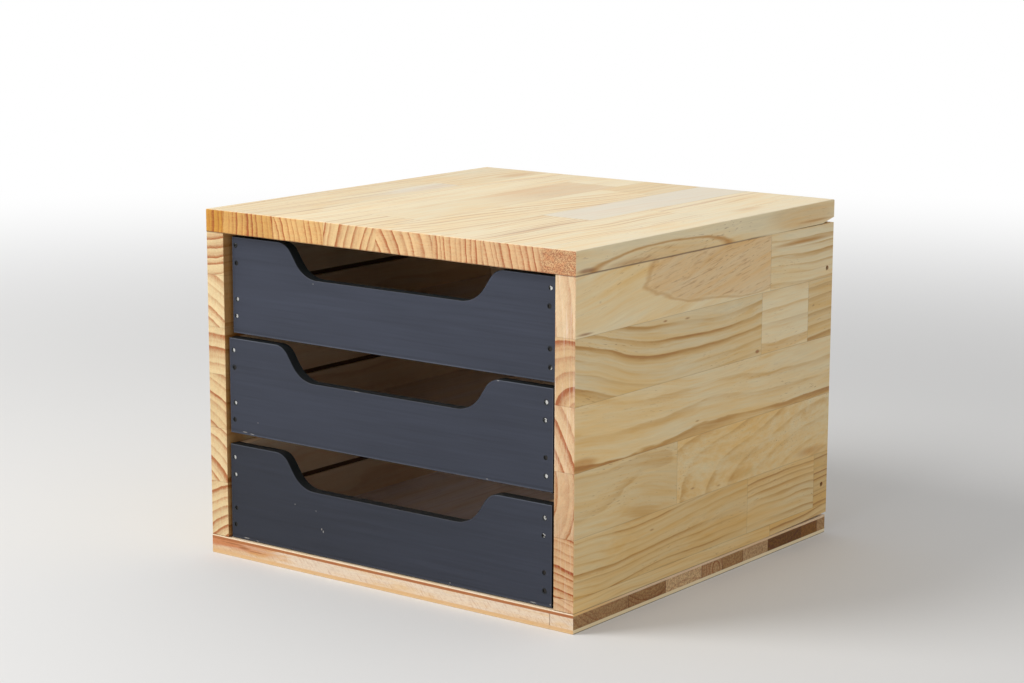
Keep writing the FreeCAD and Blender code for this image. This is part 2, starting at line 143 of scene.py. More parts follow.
TOP_BOARD = [
    (-162, [(190, -420, 274, 1, 0, 0, 4.6, 0.1, 0.94, 0.3, 0.9, 0, 1.0)]),
    (-109, [(60, -460, 262, 1, 0, 0, 5.2, 0.3, 0.95, 0.35, 1.0, 0, 0.8),
            (190, -430, 262, -2, 0, 3, 6.0, 0.2, 0.97, 0.55, 0.8, 0, 0.5)]),
    (-57, [(190, -190, 247, 1, 1, 0, 5.8, 0.5, 1.02, 0.15, 0.85, 0, 0.6)]),
    (-5, [(-125, 105, 238, 1, 1, 0, 7.4, 0.0, 1.0, 0.3, 0.95, 0, 0.3),
          (135, -30, 258, 3, 2, 0, 8.0, 0.3, 0.98, 0.35, 0.5, 0, 0.3),
          (190, -40, 240, 0, 0, 0, 8.0, 0.5, 1.03, 0.15, 0.6, 0, 0.3)]),
    (50, [(110, -18, 250, 16, 6, 0, 7.6, 0.0, 1.03, 0.3, 1.0, 0, 0.28),
          (190, -10, 230, 0, 0, 0, 8.0, 0.4, 0.98, 0.7, 1.0, 0, 0.4)]),
    (97, [(-45, -260, 246, 1, 0, 0, 4.6, 0.2, 1.03, 0.2, 0.95, 0, 0.32),
          (190, -260, 262, 1, 0, 0, 4.8, 0.2, 0.98, 0.0, 0.4, 0, 0.3)]),
    (151, [(30, -30, 232, 1, 1, 0, 5.2, 0.3, 1.03, 0.15, 0.85, 0, 0.28),
           (190, 0, 240, -2, 0, 0, 6.5, 0.1, 1.03, 0.2, 0.6, 0, 0.28)]),
    (300, [(190, 166, 130, 1, 0, 0, 7.0, 0.4, 1.01, 0.2, 0.1, 0, 0.35)]),
]

BACK_PANEL = [
    (58, [(20, -30, 175, 2, 3, 2, 7.0, 0.2, 1.0, 0.4, 0.9),
          (190, 10, 150, -3, 0, 0, 9.0, 0.5, 0.95, 0.6, 0.8)]),
    (100, [(-70, 60, 150, 3, 6, 0, 8.0, 0.3, 1.04, 0.2, 0.8),
           (190, 30, 200, 2, -4, 0, 6.5, 0.1, 1.0, 0.4, 0.9)]),
    (141, [(90, 120, 140, -3, 10, 0, 10.0, 0.6, 0.98, 0.3, 0.9, 18),
           (190, 60, 190, 0, 0, 0, 7.0, 0.2, 1.03, 0.5, 0.8)]),
    (183, [(-20, 100, 200, 4, 0, -3, 9.0, 0.4, 1.02, 0.2, 0.7),
           (190, 80, 170, -2, 2, 0, 6.0, 0.7, 0.96, 0.6, 1.0)]),
    (225, [(60, 240, 120, 0, 7, 0, 11.0, 0.3, 1.05, 0.3, 0.8),
           (190, 150, 180, 3, 0, 0, 8.0, 0.1, 1.0, 0.4, 0.9)]),
    (300, [(-100, 340, 170, 0, 0, 0, 7.0, 0.5, 0.97, 0.5, 0.9),
           (190, 200, 190, -4, 0, 2, 9.0, 0.2, 1.03, 0.2, 0.8)]),
]

CORE_STRIPS = [
    (-110, [(159, -160, 60, 1, 0, 0, 6.0, 0.3, 1.02, 0.1, 0.2, 0, 0.5),
            (190, -130, 60, 0, 0, 0, 5.0, 0.1, 1.0, 0.15, 0.2, 0, 0.5)]),
    (-60, [(190, -80, 50, 0, 0, 0, 4.0, 0.1, 0.93, 0.3, 0.5, 0, 0.6)]),
    (-10, [(190, -30, -60, 0, 0, 0, 5.0, 0.5, 1.55, 0.0, 0.1, 0, 0.2)]),
    (20, [(190, 11, 7, 0, 0, 0, 3.0, 0.2, 1.25, 0.3, 0.7, 0, 0.4)]),
    (50, [(190, 30, 60, 0, 0, 0, 5.0, 0.7, 1.0, 0.5, 0.3, 0, 0.6)]),
    (88, [(190, 70, -50, 0, 0, 0, 6.0, 0.4, 1.25, 0.3, 0.1, 0, 0.3)]),
    (140, [(190, 110, 50, 0, 0, 0, 4.0, 0.2, 0.42, 0.8, 0.6, 0, 1.0)]),
    (165, [(190, 150, -55, 0, 0, 0, 5.0, 0.6, 0.62, 0.6, 0.3, 0, 1.0)]),
    (300, [(190, 200, 60, 0, 0, 0, 5.0, 0.3, 1.08, 0.3, 0.1, 0, 0.5)]),
]

SLAT_STOCK = [
    (53, [(190, -10, 140, 2, 0, 0, 6.0, 0.3, 1.05, 0.5, 1.0)]),
    (97, [(190, 20, 170, -1, 0, 0, 5.0, 0.1, 1.08, 0.4, 0.9)]),
    (139, [(190, 60, 120, 2, 0, 2, 7.0, 0.5, 1.05, 0.5, 1.0)]),
    (180, [(190, 190, 100, 1, 3, 0, 5.5, 0.2, 1.1, 0.4, 0.8)]),
    (220, [(190, 130, 200, -2, 0, 0, 6.5, 0.6, 1.06, 0.5, 1.0)]),
    (300, [(190, 160, 150, 1, 0, -2, 5.0, 0.4, 1.1, 0.35, 0.9)]),
]

# Chips and scratches in the fronts' paint: (across, up, half width, half height), in millimetres.
FLECKS = {
    "bottom": [(-91.3, 53.5, 0.3, 0.6), (-69.3, 51.4, 1.0, 0.25), (-63.6, 37.9, 0.5, 0.9), (-62.0, 35.8, 0.5, 0.9),
               (-143.8, 17.1, 4.0, 0.4), (-132.0, 16.5, 2.2, 0.35), (64.5, 17.5, 0.8, 0.4), (142.3, 16.9, 2.6, 0.4),
               (158.0, 17.9, 0.8, 0.4)],
    "middle": [(-26.5, 152.2, 3.5, 0.4), (-129.6, 113.4, 0.6, 0.5), (-144.0, 104.0, 3.0, 0.35),
               (-136.0, 103.3, 2.5, 0.3), (99.6, 103.1, 0.9, 0.5), (109.6, 178.2, 0.9, 0.6)],
    "top": [(-72.7, 230.0, 0.6, 0.45), (55.6, 232.8, 0.6, 0.45)],
}

# How much paint and dirt is left on each nail of a front, 0 to 1: the left side's upwards, then the right side's.
DIRT = {
    "bottom": (0.8, 1.0, 0.35, 0.2, 0.95, 0.8, 0.5, 0.35),
    "middle": (0.85, 0.3, 0.8, 0.15, 0.25, 0.75, 0.45, 0.2),
    "top": (0.15, 0.1, 1.0, 0.65, 0.6, 1.0, 1.0, 0.35),
}

# Small dark dashes in the blockboard's core: (across, up, half width, half height), in millimetres.
CORE_DASHES = [(-145, 8.8, 6, 0.9), (-158, 10.5, 11, 0.5), (-130, 7.5, 13, 0.5)]

# Single patches on the boards, as the names below say, in millimetres. A rim of more than 0 adds a line round the
# patch and streaks inside. On the top board's right edge, across is up.
Patch = namedtuple("Patch", "along across half_length half_width softness colour share rim", defaults=[0])

TOP_EDGE_PATCHES = [
    (-66, 262.5, 90, 11, 0.45, "warm", 0.3, 0.8),
    (-110, 264, 44, 3, 0.9, "gold", 0.5),
    (130, 272, 62, 14, 0.5, "warm", 0.35),
    (150, 266, 36, 1.5, 0.9, "gold", 0.6),
    (-167, 264.5, 15, 2.6, 0.8, "resin", 0.7),
]

# On the right side and the top board, the number of the patch's stave comes first. It counts from 0 in the order of
# the lists above.
RIGHT_SIDE_PATCHES = [
    (11, 62, 250, 158, 31, 0.1, "heart", 0.5, 0.45),
    (6, 45, 76, 32, 6, 0.8, "pale", 0.8),
    (6, 45, 91, 38, 6, 0.9, "pale", 0.6),
    (6, 150, 75, 30, 5, 0.9, "gold", 0.5),
    (7, -172, 124, 26, 7, 0.6, "gold", 0.6),
    (8, 65, 171, 4, 2.0, 0.7, "ring", 0.8),
    (8, -66, 214, 4, 1.2, 0.9, "ring", 0.8),
    (8, -36, 212, 5, 1.2, 0.9, "ring", 0.7),
    (11, -168, 219, 14, 1.4, 0.9, "resin", 0.7),
    (12, 135, 251, 70, 2.6, 0.9, "gold", 0.9),
    (2, -80, 57, 4, 1.0, 0.9, "ring", 0.6),
    (7, -20, 130, 4, 1.0, 0.9, "ring", 0.6),
    (6, -25, 78, 4, 1.2, 0.9, "ring", 0.6),
    (6, 12, 73, 4, 1.0, 0.9, "ring", 0.5),
]

# The grey patches on the top board are painted sheen, where its top reflects the light at a grazing angle
TOP_BOARD_PATCHES = [
    (1, 50, -128, 105, 16, 0.5, "cool", 0.4),
    (2, 150, -122, 34, 13, 0.8, "warm", 0.6),
    (5, 80, -32, 110, 70, 0.8, "heart", 0.55),
    (5, 80, -32, 110, 70, 0.8, "warm", 0.12),
    (10, 75, 74, 134, 90, 0.1, "cool", 0.44),
    (9, -110, 92, 70, 6, 0.7, "gold", 0.5),
    (13, 85, 156, 30, 9, 0.9, "warm", 0.5),
]


class Wire:
    """One number, vector or colour on its way through a finish's nodes, with sums written as usual."""

    def __init__(self, tree, socket):
        self.tree = tree
        self.socket = socket

    def maths(self, operation, *others, clamp=False):
        """One of Blender's operations on this value and the others."""
        return put(self.tree, "Math", self, *others, operation=operation, use_clamp=clamp)

    def __add__(self, other):
        return self.maths("ADD", other)

    def __sub__(self, other):
        return self.maths("SUBTRACT", other)

    def __mul__(self, other):
        return self.maths("MULTIPLY", other)

    def __truediv__(self, other):
        return self.maths("DIVIDE", other)

    __radd__ = __add__
    __rmul__ = __mul__

    def __rsub__(self, other):
        return self * -1 + other

    def above(self, other):
        return self.maths("GREATER_THAN", other)

    def below(self, other):
        return self.maths("LESS_THAN", other)

    def least(self, other):
        return self.maths("MINIMUM", other)

    def most(self, other):
        return self.maths("MAXIMUM", other)

    def size(self):
        return self.maths("ABSOLUTE")

    def share(self):
        """The value, kept between 0 and 1."""
        return self.maths("ADD", 0.0, clamp=True)

    def soft(self, start, end, low=0.0, high=1.0):
        """Goes smoothly from low to high as this value goes from start to end."""
        return put(self.tree, "MapRange", self, start, end, low, high, interpolation_type="SMOOTHSTEP")

    def fade(self, start, end):
        """Goes smoothly from 1 to 0."""
        return self.soft(start, end, 1.0, 0.0)

    def parts(self):
        """The three numbers of a vector or colour."""
        node = self.tree.nodes.new("ShaderNodeSeparateXYZ")
        self.tree.links.new(self.socket, node.inputs[0])
        return [Wire(self.tree, s) for s in node.outputs]


def feed(tree, socket, value):
    """Links a wire to a socket, or sets a plain value on it."""
    if isinstance(value, Wire):
        tree.links.new(value.socket, socket)
    elif socket.type == "RGBA" and len(value) == 3:
        socket.default_value = (*value, 1.0)
    else:
        socket.default_value = value


def put(tree, kind, *values, out=0, **settings):
    """Adds a node, sets it up, feeds its inputs in order and gives back one output as a wire."""
    node = tree.nodes.new("ShaderNode" + kind)
    for name, value in settings.items():
        setattr(node, name, value)
    for socket, value in zip(node.inputs, values):
        feed(tree, socket, value)
    return Wire(tree, node.outputs[out])


def point(tree, x, y, z):
    return put(tree, "CombineXYZ", x, y, z)


def cloud(tree, x, y, z, detail=2.0, rough=0.5):
    """Soft noise from 0 to 1 whose cells are one unit of x, y and z wide."""
    return put(tree, "TexNoise", point(tree, x, y, z), 0.0, 1.0, detail, rough)


def drift(tree, x, y, z, detail):
    """As cloud, but three noises that go their own ways."""
    return put(tree, "TexNoise", point(tree, x, y, z), 0.0, 1.0, detail, 0.5, out=1).parts()


def tint(tree, share, first, second, way="MIX"):
    """Two colours mixed: share 0 gives the first and 1 the second."""
    node = tree.nodes.new("ShaderNodeMix")
    node.data_type = "RGBA"
    node.blend_type = way
    for index, value in ((0, share), (6, first), (7, second)):
        feed(tree, node.inputs[index], value)
    return Wire(tree, node.outputs[2])


def stain(tree, share, colour, shade):
    """The colour seen through a clear stain of that shade, where share is 1."""
    return tint(tree, share, colour, shade, "MULTIPLY")


def dim(tree, colour, light):
    """The colour with its light multiplied by a number."""
    return stain(tree, 1.0, colour, point(tree, light, light, light))


def ramp(tree, value, stops, way="LINEAR"):
    """A colour ramp through (place, colour) stops. A stop's colour may have four numbers, or one for grey."""
    node = tree.nodes.new("ShaderNodeValToRGB")
    node.color_ramp.interpolation = way
    points = node.color_ramp.elements
    while len(points) < len(stops):
        points.new(1.0)
    for element, (place, colour) in zip(points, stops):
        element.position = place
    for element, (place, colour) in zip(points, stops):
        whole = (colour,) * 3 if isinstance(colour, (int, float)) else tuple(colour)
        element.color = whole if len(whole) == 4 else (*whole, 1.0)
    feed(tree, node.inputs[0], value)
    return Wire(tree, node.outputs[0])


def lookup(tree, index, table):
    """Four numbers of the table's row that index counts, from 0. Ramps hold no number under 0, so 1 is added."""
    count = len(table)
    node = ramp(tree, (index + 0.5) / count, [(i / count, [v + 1 for v in row]) for i, row in enumerate(table)],
                way="CONSTANT")
    alpha = Wire(tree, node.socket.node.outputs[1])
    return [w - 1 for w in (*node.parts(), alpha)]


def nearest(tree, spot, ovals):
    """How far the spot is from the nearest oval's middle, where 1 is on its edge. An oval is its middle's x, y and z
    and its half sizes along x and z."""
    found = None
    for x, _, z, half_x, half_z in ovals:
        scaled = put(tree, "VectorMath", spot, (1 / half_x, 0.0, 1 / half_z), (-x / half_x, 0.0, -z / half_z),
                     operation="MULTIPLY_ADD")
        far = put(tree, "VectorMath", scaled, operation="LENGTH", out=1)
        found = far if found is None else found.least(far)
    return found


def nail_heads(name):
    """The middles of the nails' heads in a CAD node, from its points nearest the front, sorted by side and height."""
    points = np.array([v.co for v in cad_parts[name].data.vertices])
    heads = points[points[:, 1] < points[:, 1].min() + 0.2 * MM]
    heads = heads[np.lexsort((heads[:, 2], heads[:, 0] > 0))]
    breaks = np.flatnonzero(np.abs(np.diff(heads[:, 2])) > 5 * MM) + 1
    return [tuple(part.mean(0)) for part in np.split(heads, breaks)]


def dirt_on(tree, spot, heads, shares):
    """How dirty the nail at the spot is: the share of the head whose middle is within 3 mm."""
    dirt = None
    for head, share in zip(heads, shares):
        here = nearest(tree, spot, [(*head, 3 * MM, 3 * MM)]).below(1.0) * share
        dirt = here if dirt is None else dirt + here
    return dirt


class Finish:
    """A material in the making: its nodes, the place on the object, and the shader at its end."""

    def __init__(self, name):
        self.material = bpy.data.materials.new(name)
        self.material.use_nodes = True
        self.tree = self.material.node_tree
        self.shader = self.tree.nodes["Principled BSDF"]
        self.spot = put(self.tree, "TexCoord", out=3)
        self.place = self.spot.parts()
        self.facing = put(self.tree, "TexCoord", out=1).parts()

    def faces(self, way, start=0.5, end=0.8):
        """1 where the surface faces a way such as "+x" or "-y", and 0 elsewhere. A letter alone counts both ways."""
        part = self.facing["xyz".index(way[-1])]
        if way[0] == "-":
            part = part * -1
        elif way[0] != "+":
            part = part.size()
        return part.soft(start, end)

    def set(self, **sockets):
        """Feeds the shader's sockets, with _ for a space in their names."""
        for name, value in sockets.items():
            feed(self.tree, self.shader.inputs[name.replace("_", " ")], value)

    def bump(self, height):
        """Height in metres, as a relief on the surface."""
        node = self.tree.nodes.new("ShaderNodeBump")
        node.inputs["Distance"].default_value = 1.0
        feed(self.tree, node.inputs["Height"], height)
        self.tree.links.new(node.outputs[0], self.shader.inputs["Normal"])

    def give(self, *names):
        """Puts the material on CAD nodes."""
        for name in names:
            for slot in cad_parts[name].material_slots:
                slot.material = self.material


GRAIN_SOCKETS = ("Along", "Across", "Deep", "Heart across", "Heart deep", "Lean across", "Lean deep", "Bend",
                 "Ring", "First ring", "Tone", "Warmth", "Contrast", "Amber", "Pink", "End")
SWAY = 24 * MM          # how far a ring strays from a true tube
RIPPLE = 2.2 * MM       # how wavy it is
# How dark the wood is from the start of a ring, at 0, to its end, at 1
LATE_WOOD = [(0.0, 0.2), (0.06, 0.05), (0.28, 0.12), (0.45, 0.34), (0.56, 0.26), (0.74, 0.66), (0.9, 1.0),
             (0.955, 0.9), (1.0, 0.2)]


def sawn_pine(wood):
    """The node group of sawn pine: growth rings as tubes round the tree's heart, cut by the face. A ring is at
    distance = root of (across - heart across)^2 + (deep - heart deep)^2, and the heart leans and bends along
    the grain. In each ring pale early wood darkens to late wood and ends sharply."""
    group = bpy.data.node_groups.new(PINE, "ShaderNodeTree")
    sockets = [(name, "INPUT", "Float") for name in GRAIN_SOCKETS]
    sockets += [("Colour", "OUTPUT", "Color"), ("Rough", "OUTPUT", "Float"), ("Height", "OUTPUT", "Float")]
    for name, way, kind in sockets:
        group.interface.new_socket(name, in_out=way, socket_type="NodeSocket" + kind)
    start = group.nodes.new("NodeGroupInput")
    end = group.nodes.new("NodeGroupOutput")
    (along, across, deep, heart_across, heart_deep, lean_across, lean_deep, bend, ring, first, tone, warmth,
     contrast, amber, pink, ending) = [Wire(group, start.outputs[n]) for n in GRAIN_SOCKETS]

    # Where the face cuts the tree, measured from its heart, and the ring there
    sway = drift(group, along * 6 + first * 40, across * 13, deep * 13, 1.0)
    ripple = drift(group, along * 30, across * 110 + first * 9, deep * 110, 2.0)
    swing = SWAY * (1 - ending * 0.6)
    u = across - heart_across - lean_across * along - bend * along * along
    u = u + (sway[0] - 0.5) * swing + (ripple[0] - 0.5) * RIPPLE
    v = deep - heart_deep - lean_deep * along + (sway[1] - 0.5) * swing + (ripple[1] - 0.5) * RIPPLE
    reach = (u * u + v * v).maths("SQRT")
    count = reach / ring
    count = count + cloud(group, count * 0.5, first * 30, 0.0, 1.0) * 1.6 + first
    luck = put(group, "TexWhiteNoise", point(group, count.maths("FLOOR"), first * 50, 0.0))
    late = ramp(group, count.maths("FRACT"), LATE_WOOD)
    fade = cloud(group, along * 8, u * 70, v * 70, 1.0).soft(0.25, 0.7, 0.45, 1.15)
    late = late * (luck * 0.7 + 0.35) * fade.most(ending)

    # Finer marks: those along the grain first, then the rays and pores of the end grain
    fibre = cloud(group, along * 26, u * 760, v * 760, 2.0, 0.65) - 0.5
    strand = cloud(group, along * 12, u * 240, v * 240, 2.0, 0.6) - 0.5
    streak = cloud(group, along * 4, u * 70, v * 70, 2.0) - 0.5
    patch = cloud(group, along * 9 + 3, across * 18, deep * 18, 2.0) - 0.5
    dash = cloud(group, along * 150, u * 1500, v * 1500, 0.0).soft(0.72, 0.80)
    dashes = cloud(group, along * 8, u * 40, v * 40, 1.0).soft(0.42, 0.66)
    turn = put(group, "Math", v, u, operation="ARCTAN2")
    ray = cloud(group, turn * reach * 900, reach * 130, along * 30, 1.0) - 0.5
    pore = cloud(group, across * 1500, deep * 1500, along * 60, 1.0) - 0.5

    # The colour of a face along the grain, of the end grain, and of whichever shows
    pinkish = (reach - pink).fade(-2 * MM, 1 * MM) * pink.above(0.5 * MM)
    early = tint(group, pinkish, wood.pale, wood.heart)
    early = tint(group, (warmth * 0.8 + patch * 1.1 + streak * 1.2 + strand * 1.1).share(), early, wood.warm)
    dark = (late * contrast * 0.85 + strand * 0.55 + fibre * 0.5 + streak * 0.25).share()
    face = tint(group, dark.soft(0.0, 0.75), early, wood.gold)
    face = tint(group, dark.soft(0.45, 1.1), face, wood.ring)
    face = tint(group, dash * dashes * 0.5, face, wood.resin)
    sawn = tint(group, (late * (contrast * 0.8 + 0.4) + ray * 0.7 + pore * 0.9).share(), wood.end, wood.end_ring)
    sawn = stain(group, amber, sawn, wood.amber)
    light = tone + fibre * 0.22 + strand * 0.18 + streak * 0.2 + patch * 0.2 + (ray * 0.25 + pore * 0.4) * ending
    body = dim(group, tint(group, ending, face, sawn), light)
    rough = 0.52 - late * 0.10 + strand * 0.2 + ending * 0.12
    height = late * (0.03 * MM) + fibre * (0.04 * MM) + (ray + pore) * ending * (0.12 * MM)
    for wire, name in ((body, "Colour"), (rough, "Rough"), (height, "Height")):
        group.links.new(wire.socket, end.inputs[name])
    return group


def stave_at(tree, along, across, rows):
    """The number of the stave that a place lies in, and how far the place is from the stave's nearest edge."""
    row = across.above(rows[0][0] * MM)
    for limit, _ in rows[1:-1]:
        row = row + across.above(limit * MM)
    starts, edges, low, number = [], [], BELOW_ALL, 0
    for limit, staves in rows:
        joints = [stave[0] * MM for stave in staves[:-1]]
        starts.append((number, *joints, *[NO_JOINT] * (3 - len(joints))))
        edges.append((low * MM, limit * MM, 0.0, 0.0))
        low = limit
        number += len(staves)
    index, *joints = lookup(tree, row, starts)
    lowest, highest = lookup(tree, row, edges)[:2]
    gap = (across - lowest).least(highest - across)
    for joint in joints:
        index = index + along.above(joint)
        gap = gap.least((along - joint).size())
    return index.maths("ROUND"), gap


def laid_up(finish, group, axes, rows, patches=(), wood=None, seam=0.25, shaded_joints_up=()):
    """Pine laid up of staves: finds the stave of each place, and draws the stave's own rings and patches. axes names
    the directions along the grain, across it and deep. seam is how dark the glue lines are, and shaded_joints_up are
    the heights in millimetres at which one board stands on another, where a line of painted shade darkens the joint.
    Returns colour, roughness and height."""
    tree = finish.tree
    along, across, deep = [finish.place["xyz".index(a)] for a in axes]
    end = finish.faces(axes[0])
    index, gap = stave_at(tree, along, across, rows)
    staves = [Stave(*s) for _, members in rows for s in members]
    heart = lookup(tree, index, [(s.heart_across * MM, s.heart_deep * MM, s.lean_across * LEAN, s.lean_deep * LEAN)
                                 for s in staves])
    bend, ring, first, pink = lookup(tree, index, [(s.bend * BEND, s.ring * MM, s.first, s.pink * MM)
                                                   for s in staves])
    look = lookup(tree, index, [(s.tone, s.warmth, s.contrast, s.warmth * 0.5 if s.amber is None else s.amber)
                                for s in staves])
    node = tree.nodes.new("ShaderNodeGroup")
    node.node_tree = group
    values = (along, across, deep, *heart, bend, ring, first, *look, pink, end)
    for name, value in zip(GRAIN_SOCKETS, values):
        feed(tree, node.inputs[name], value)
    colour, rough, height = [Wire(tree, node.outputs[n]) for n in ("Colour", "Rough", "Height")]
    edge = cloud(tree, along * 22, across * 60, deep * 60, 3.0) - 0.5
    for number, *patch in patches:
        on = (index - number).size().below(0.5) * (1 - end)
        colour = patched(tree, colour, along, across, on, edge, Patch(*patch), wood)
    line = gap.fade(0.1 * MM, 0.4 * MM) * seam
    dark = line
    # Painted shade along the joints where one board stands on another
    for up in shaded_joints_up:
        near = (finish.place[2] - up * MM).size().fade(0.2 * MM, 0.9 * MM) * (edge + 0.7)
        dark = dark.most(near * finish.place[1].fade(50 * MM, 90 * MM))
    return tint(tree, dark, colour, GLUE_LINE_AND_JOINT_SHADE), rough, height - line * (0.15 * MM)


def patched(tree, colour, along, across, on, edge, patch, wood):
    """One patch laid over a board's colour where on is 1: an oval with a ragged edge, tinted with one of the wood's
    colours. If its rim is more than 0 it has a line round it and slanting streaks inside."""
    u = (along - patch.along * MM) / (patch.half_length * MM)
    v = (across - patch.across * MM) / (patch.half_width * MM)
    far = (u * u + v * v).maths("SQRT") + edge * 0.3
    inside = far.fade(1 - patch.softness, 1.0) * on
    # The painted sheen's grey is mixed in, and other shades stain
    lay = tint if patch.colour == "cool" else stain
    colour = lay(tree, inside * patch.share, colour, getattr(wood, patch.colour))
    if patch.rim:
        streaks = cloud(tree, along * 60, (across - along * 0.16) * 640, 0.3, 2.0, 0.6).soft(0.54, 0.76)
        colour = stain(tree, inside * streaks * 0.45, colour, wood.ring)
        line = (far - 0.98).size().fade(0.0, 0.03 + patch.softness * 0.2) * on * patch.rim
        colour = stain(tree, line, colour, wood.gold)
    return colour


def shade_inner_face(finish, colour, wood, way):
    """Paints shade on a side's inner face, which faces that way, where it shows beside the fronts: browner and darker
    there, for the shade in the recess.
    """
    _, y, z = finish.place
    ahead = (y + 160 * MM + cloud(finish.tree, y * 30, z * 12, 0.0) * (20 * MM)).fade(0.0, 30 * MM)
    return stain(finish.tree, finish.faces(way) * ahead, colour, wood.inside)


def right_side_marks(finish, colour, wood):
    """The right side's own marks: painted shade on its inner face beside the fronts, its front edge scuffed and with
    strong rings at the foot, its outer face warmer towards the foot."""
    tree = finish.tree
    x, y, z = finish.place
    colour = shade_inner_face(finish, colour, wood, "-x")
    front = finish.faces("-y")
    scuff = cloud(tree, x * 700, y * 20, z * 26, 2.0, 0.6).soft(0.52, 0.72) * front
    scuff = scuff * z.soft(100 * MM, 200 * MM, 0.14, 0.35)
    colour = stain(tree, front, colour, RIGHT_FRONT_TINT)
    strong = stain(tree, 1.0, put(tree, "BrightContrast", colour, 0.08, 0.3), STRONG_GRAIN_TINT)
    colour = tint(tree, front * z.soft(105 * MM, 130 * MM, 0.8, 0.0), colour, strong)
    colour = tint(tree, scuff, colour, SCUFF)
    return stain(tree, finish.faces("+x") * z.fade(0.0, 200 * MM), colour, RIGHT_OUTER_TINT)


def left_side_marks(finish, colour, wood):
    """The left side's own marks: painted shade on its inner face beside the fronts, and its front edge a little
    cooler.
    """
    colour = shade_inner_face(finish, colour, wood, "+x")
    return stain(finish.tree, finish.faces("-y"), colour, LEFT_FRONT_TINT)


def top_board_marks(finish, colour, wood):
    """The top board's own marks: the patches on its right edge, the front edge redder towards the right, the rough
    reddish block at its right end, and a painted sheen that makes the top lighter."""
    tree = finish.tree
    x, y, z = finish.place
    right = finish.faces("+x")
    edge = cloud(tree, y * 22, z * 60, 0.3, 3.0) - 0.5
    for patch in TOP_EDGE_PATCHES:
        colour = patched(tree, colour, y, z, right, edge, Patch(*patch), wood)
    colour = stain(tree, finish.faces("-y") * x.soft(-120 * MM, 160 * MM), colour, TOP_FRONT_TINT)
    corner = x.soft(146 * MM, 153 * MM) * finish.faces("y")
    blush = cloud(tree, x * 170, y * 40, z * 300 + x * 60, 2.0, 0.6).soft(0.42, 0.62)
    colour = tint(tree, corner * blush * 0.45, colour, CORNER_BLUSH)
    speck = cloud(tree, x * 1000, y * 40, z * 1000, 3.0, 0.65).soft(0.42, 0.6)
    colour = tint(tree, corner * speck * 0.8, colour, CORNER_SPECK)
    # Painted sheen: the top face mixed towards a pale cream
    return tint(tree, finish.faces("+z") * 0.16, colour, TOP_PAINTED_SHEEN)


def plain(finish, colour, wood):
    """No marks of its own."""
    return colour


def colour_prop(name, description, default):
    """A colour that the panel can change."""
    return bpy.props.FloatVectorProperty(name=name, description=description, subtype="COLOR", size=3, min=0.0,
                                         max=1.0, default=default)


class TrayWood(bpy.types.PropertyGroup):
    """The colours of the wood"""
    pale: colour_prop("Pale wood", "Early wood between the growth rings", chip(241, 223, 182))
    warm: colour_prop("Warm wood", "What a warm stave leans towards", chip(228, 190, 122))
    # Painted shade: the sides' inner faces beside the fronts are drawn darker and browner with this colour
    inside: colour_prop("Inside", "Tint of the sides' inner faces beside the fronts", chip(190, 158, 126))
    gold: colour_prop("Golden wood", "Where a growth ring begins to darken", chip(206, 162, 92))
    ring: colour_prop("Growth ring", "Late wood at the end of each ring", chip(176, 122, 60))
    heart: colour_prop("Heartwood", "Pinkish tint near the heart", chip(238, 212, 186))
    # Painted sheen: the grey that parts of the top board lean towards, where its top reflects the light at a grazing
    # angle
    cool: colour_prop("Weathered wood", "What a greyish stave leans towards", chip(220, 216, 212))
    resin: colour_prop("Resin", "Short dashes of resin", chip(150, 96, 56))
    end: colour_prop("End grain", "Early wood cut across", chip(226, 204, 157))
    end_ring: colour_prop("End grain ring", "Late wood cut across", chip(170, 104, 56))
    amber: colour_prop("Amber", "Tint of the most orange end grain", chip(226, 182, 92))
    face_veneer: colour_prop("Face veneer", "The blockboard's outer veneers", chip(232, 212, 186))
    core: colour_prop("Core", "Tint of the blockboard's core", chip(228, 226, 246))
    cross_veneer: colour_prop("Cross veneer", "The blockboard's second veneers, cut across", chip(156, 92, 56))
    slat: colour_prop("Slats", "What the drawers' slats lean towards", chip(230, 206, 190))
    sheet: colour_prop("Thin board", "The drawers' bottoms", chip(220, 204, 192))


class TrayPaint(bpy.types.PropertyGroup):
    """The paint on the fronts"""
    colour: colour_prop("Paint", "The charcoal paint on the fronts", chip(47, 51, 63))
    edge: colour_prop("Worn edge", "Where the paint catches light along an edge", chip(88, 94, 106))
    fleck: colour_prop("Fleck", "Where the paint has chipped", chip(176, 172, 166))
    # Painted shade: the darker colour on the sawn edges, the cut-out's edge and round the nail holes
    sawn: colour_prop("Sawn edge", "The darker paint on the cut-out's edge", chip(26, 30, 33))
    brush: bpy.props.FloatProperty(name="Brush marks", description="How deep the brush marks are",
                                   default=0.06 * MM, min=0.0, max=1 * MM, unit="LENGTH")


class TrayMetal(bpy.types.PropertyGroup):
    """The metal of the nails and screws"""
    nail: colour_prop("Nails", "Bright wire nails", chip(206, 206, 204))
    dull: colour_prop("Dull metal", "Where a head is covered with paint and dirt", chip(58, 56, 54))
    screw: colour_prop("Screws", "Zinc plated screws", chip(186, 182, 168))


class TrayStage(bpy.types.PropertyGroup):
    """The floor, the light and the camera"""
    reach: bpy.props.FloatProperty(name="Floor radius", description="How far the floor goes", default=6.0,
                                   min=1.0, unit="LENGTH")
    floor: colour_prop("Floor", "The plain pale floor", chip(226, 226, 226))
    lamp: colour_prop("Lamps", "The colour of both lamps' light", (1.0, 0.985, 0.955))
    key: bpy.props.FloatProperty(name="Key lamp", description="Power of the lamp at the upper left",
                                 default=35.0, min=0.0, subtype="POWER")
    low: bpy.props.FloatProperty(name="Low lamp", description="Power of the lamp that looks into the drawers",
                                 default=16.0, min=0.0, subtype="POWER")
    fill: bpy.props.FloatProperty(name="Fill", description="Strength of the soft light from all round",
                                  default=0.54, min=0.0, max=1.0, subtype="FACTOR")
    lens: bpy.props.FloatProperty(name="Lens", description="Focal length", default=86.07, min=20.0,
                                  unit="CAMERA")


